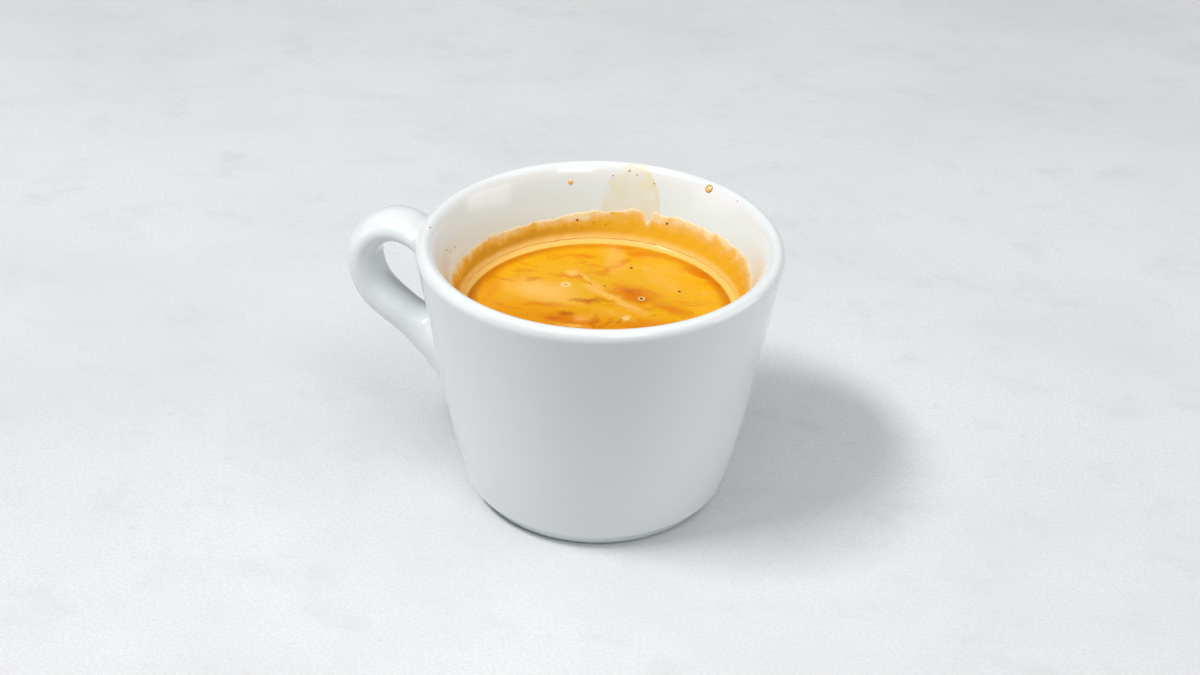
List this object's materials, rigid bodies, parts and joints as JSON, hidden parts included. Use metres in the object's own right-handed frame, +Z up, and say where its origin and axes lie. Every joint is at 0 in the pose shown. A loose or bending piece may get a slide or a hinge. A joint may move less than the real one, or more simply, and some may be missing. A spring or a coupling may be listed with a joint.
{
  "type": "espresso in a porcelain cup",
  "caption": "Shot of espresso with crema in a small thick-walled white porcelain cup with an ear handle; stands on its foot ring.",
  "frame": {"origin": "centre of the cup's foot, on the surface it stands on", "axes": "+Z up along the cup's axis, -X towards the handle"},
  "size_m": [0.0797, 0.065, 0.05],
  "materials": {
    "porcelain": "white glossy glaze, unglazed foot ring",
    "coffee": "dark clear liquid",
    "crema": "fine golden foam with a wet sheen"
  },
  "bodies": {
    "root": {"cup": "porcelain", "coffee": "coffee", "crema": "crema"}
  },
  "joints": []
}
